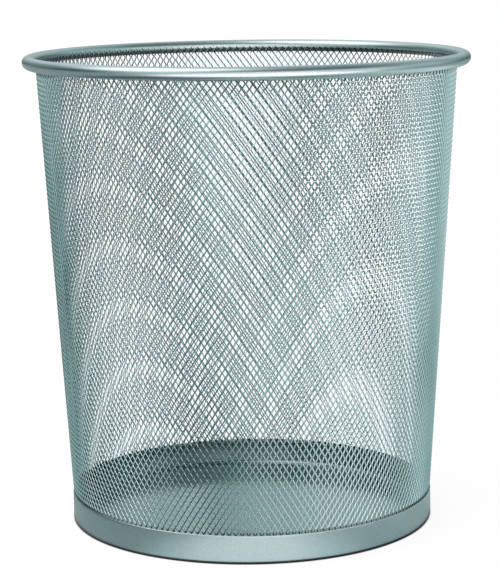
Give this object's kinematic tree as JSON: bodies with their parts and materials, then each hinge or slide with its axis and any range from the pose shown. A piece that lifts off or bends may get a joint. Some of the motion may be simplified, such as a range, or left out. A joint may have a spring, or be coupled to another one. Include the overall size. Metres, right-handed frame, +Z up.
{
  "type": "mesh wastebasket",
  "caption": "Round, open-topped wastebasket: a tapered wall of fine expanded-metal mesh between a round tube rim and a low solid base, silver paint.",
  "frame": {"origin": "on the surface the basket stands on, under the middle of the basket", "axes": "+Z up along the basket's axis, -Y towards the viewer of the picture"},
  "size_m": [0.28, 0.28, 0.2971],
  "materials": {
    "rim_paint": "satin silver metallic paint on steel tube",
    "mesh_paint": "satin silver metallic paint on expanded steel",
    "base_paint": "satin silver metallic paint on pressed steel sheet"
  },
  "bodies": {
    "root": {"rim_tube": "rim_paint", "rim_weld": "rim_paint", "mesh_wall": "mesh_paint", "base_band": "base_paint", "base_hoop": "base_paint", "base_floor": "base_paint"}
  },
  "joints": []
}
